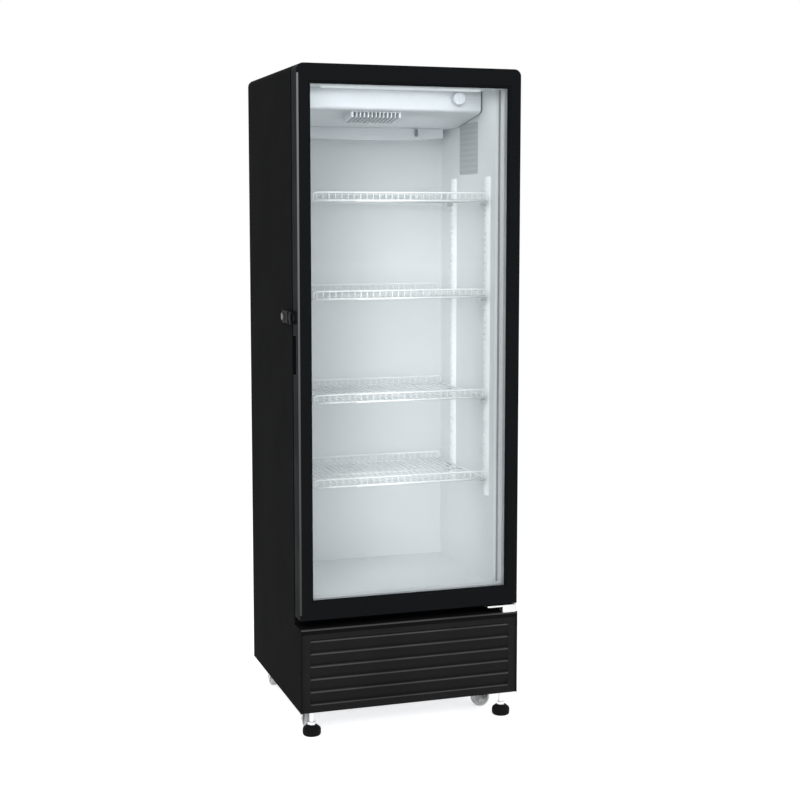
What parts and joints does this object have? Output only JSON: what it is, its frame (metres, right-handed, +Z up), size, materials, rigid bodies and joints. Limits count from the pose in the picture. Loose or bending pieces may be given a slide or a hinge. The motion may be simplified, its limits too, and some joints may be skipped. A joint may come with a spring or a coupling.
{
  "type": "glass door merchandiser",
  "caption": "Upright display cooler with a right-hinged glass door, wire shelves, side lock, louvred base, casters and levelling feet.",
  "frame": {"origin": "on the floor under the middle of the overall bounding box", "axes": "+Z up, +X to the right as seen from the front, front faces -Y"},
  "size_m": [0.615, 0.55, 1.722],
  "materials": {
    "cabinet_black": "satin powder coat",
    "door_black": "satin black anodised aluminium",
    "grille_black": "satin powder coat",
    "clear_glass": "clear tempered glass",
    "spacer_grey": "matt aluminium",
    "inner_grey": "smooth extruded plastic",
    "gasket_grey": "soft matt vinyl",
    "liner_white": "smooth moulded liner",
    "housing_white": "smooth moulded plastic",
    "lamp_white": "frosted lamp cover",
    "foam": "rigid foam",
    "galvanised": "galvanised steel",
    "zinc_bright": "bright zinc plate",
    "chrome": "polished chrome",
    "wire_white": "white plastic-coated wire",
    "fin_aluminium": "mill aluminium fins",
    "copper": "drawn copper tube",
    "compressor_black": "gloss enamel",
    "black_plastic": "moulded plastic",
    "mount_rubber": "moulded rubber",
    "wheel_grey": "moulded nylon"
  },
  "bodies": {
    "cabinet": {"outer_wrap": "cabinet_black", "back_panel": "galvanised", "front_frame": "cabinet_black", "insulation": "foam", "inner_liner": "liner_white", "compartment_deck": "cabinet_black", "base_skirts": "cabinet_black", "base_pan": "galvanised", "front_grille": "grille_black", "rear_guard": "galvanised", "hinge_brackets": "zinc_bright", "lock_housing": "black_plastic", "pilasters": "liner_white", "shelf_clips": "zinc_bright", "shelf_1": "wire_white", "shelf_2": "wire_white", "shelf_3": "wire_white", "shelf_4": "wire_white", "evaporator_housing": "housing_white", "outlet_grille": "housing_white", "evaporator_coil": "fin_aluminium", "drip_tray": "housing_white", "evaporator_fan_motor": "galvanised", "interior_lamp": "lamp_white", "compressor": "compressor_black", "compressor_mounts": "mount_rubber", "condenser": "fin_aluminium", "condenser_shroud": "galvanised", "evaporating_tray": "black_plastic", "refrigerant_lines": "copper", "supply_inlet": "black_plastic", "front_caster_plates": "zinc_bright", "rear_caster_brackets": "zinc_bright"},
    "door": {"left_stile": "door_black", "right_stile": "door_black", "top_rail": "door_black", "bottom_rail": "door_black", "outer_glass": "clear_glass", "inner_glass": "clear_glass", "glazing_spacer": "spacer_grey", "door_inner_frame": "inner_grey", "door_gasket": "gasket_grey", "handle_insert": "black_plastic", "hinge_bushes": "black_plastic", "lock_keeper": "black_plastic"},
    "evaporator_fan": {"evaporator_fan": "black_plastic"},
    "condenser_fan": {"condenser_fan": "fin_aluminium"},
    "thermostat_knob": {"thermostat_knob": "housing_white"},
    "lock_barrel": {"lock_barrel": "chrome"},
    "lock_bolt": {"lock_bolt": "chrome"},
    "front_caster_fork_left": {"front_caster_fork_left": "zinc_bright"},
    "front_caster_wheel_left": {"front_caster_wheel_left": "wheel_grey"},
    "rear_caster_wheel_left": {"rear_caster_wheel_left": "wheel_grey"},
    "foot_stud_left": {"foot_stud_left": "chrome"},
    "foot_pad_left": {"foot_pad_left": "black_plastic"},
    "front_caster_fork_right": {"front_caster_fork_right": "zinc_bright"},
    "front_caster_wheel_right": {"front_caster_wheel_right": "wheel_grey"},
    "rear_caster_wheel_right": {"rear_caster_wheel_right": "wheel_grey"},
    "foot_stud_right": {"foot_stud_right": "chrome"},
    "foot_pad_right": {"foot_pad_right": "black_plastic"}
  },
  "joints": [
    {"name": "door_hinge", "type": "hinge", "parent": "cabinet", "child": "door", "pos_m": [0.2925, -0.2475, 1.017], "axis": [0, 0, 1], "range_deg": [0, 110], "stiffness_Nm_per_rad": 1.2, "springref_deg": -11.46},
    {"name": "lock_turn", "type": "hinge", "parent": "cabinet", "child": "lock_barrel", "pos_m": [-0.3045, -0.161, 1.088], "axis": [-1, 0, 0], "range_deg": [0, 91]},
    {"name": "lock_bolt_slide", "type": "slide", "parent": "cabinet", "child": "lock_bolt", "axis": [0, -1, 0], "range_m": [0, 0.026]},
    {"name": "thermostat_turn", "type": "hinge", "parent": "cabinet", "child": "thermostat_knob", "pos_m": [0.1925, -0.112, 1.656], "axis": [0, -1, 0], "range_deg": [-150, 150]},
    {"name": "evaporator_fan_spin", "type": "hinge", "parent": "cabinet", "child": "evaporator_fan", "pos_m": [-0.0325, -0.06, 1.626], "axis": [0, 0, 1], "continuous": true},
    {"name": "condenser_fan_spin", "type": "hinge", "parent": "cabinet", "child": "condenser_fan", "pos_m": [0.1375, -0.115, 0.1572], "axis": [0, 1, 0], "continuous": true},
    {"name": "front_caster_swivel_left", "type": "hinge", "parent": "cabinet", "child": "front_caster_fork_left", "pos_m": [-0.2545, -0.163, 0.06], "axis": [0, 0, 1], "continuous": true},
    {"name": "front_wheel_spin_left", "type": "hinge", "parent": "front_caster_fork_left", "child": "front_caster_wheel_left", "pos_m": [-0.2545, -0.188, 0.025], "axis": [1, 0, 0], "continuous": true},
    {"name": "rear_wheel_spin_left", "type": "hinge", "parent": "cabinet", "child": "rear_caster_wheel_left", "pos_m": [-0.2545, 0.195, 0.025], "axis": [1, 0, 0], "continuous": true},
    {"name": "foot_lift_left", "type": "slide", "parent": "cabinet", "child": "foot_pad_left", "axis": [0, 0, 1], "range_m": [0, 0.015]},
    {"name": "foot_turn_left", "type": "hinge", "parent": "foot_pad_left", "child": "foot_stud_left", "pos_m": [-0.2575, -0.247, 0.027], "axis": [0, 0, 1], "range_deg": [0, 3605]},
    {"name": "front_caster_swivel_right", "type": "hinge", "parent": "cabinet", "child": "front_caster_fork_right", "pos_m": [0.2695, -0.163, 0.06], "axis": [0, 0, 1], "continuous": true},
    {"name": "front_wheel_spin_right", "type": "hinge", "parent": "front_caster_fork_right", "child": "front_caster_wheel_right", "pos_m": [0.2445, -0.163, 0.025], "axis": [0, 1, 0], "continuous": true},
    {"name": "rear_wheel_spin_right", "type": "hinge", "parent": "cabinet", "child": "rear_caster_wheel_right", "pos_m": [0.2695, 0.195, 0.025], "axis": [1, 0, 0], "continuous": true},
    {"name": "foot_lift_right", "type": "slide", "parent": "cabinet", "child": "foot_pad_right", "axis": [0, 0, 1], "range_m": [0, 0.015]},
    {"name": "foot_turn_right", "type": "hinge", "parent": "foot_pad_right", "child": "foot_stud_right", "pos_m": [0.2725, -0.247, 0.027], "axis": [0, 0, 1], "range_deg": [0, 3605]}
  ],
  "couplings": [
    {"joint": "lock_turn", "follows": "lock_bolt_slide", "rad_per_m": 60.4},
    {"joint": "foot_turn_left", "follows": "foot_lift_left", "rad_per_m": 4188.8},
    {"joint": "foot_turn_right", "follows": "foot_lift_right", "rad_per_m": 4188.8}
  ]
}
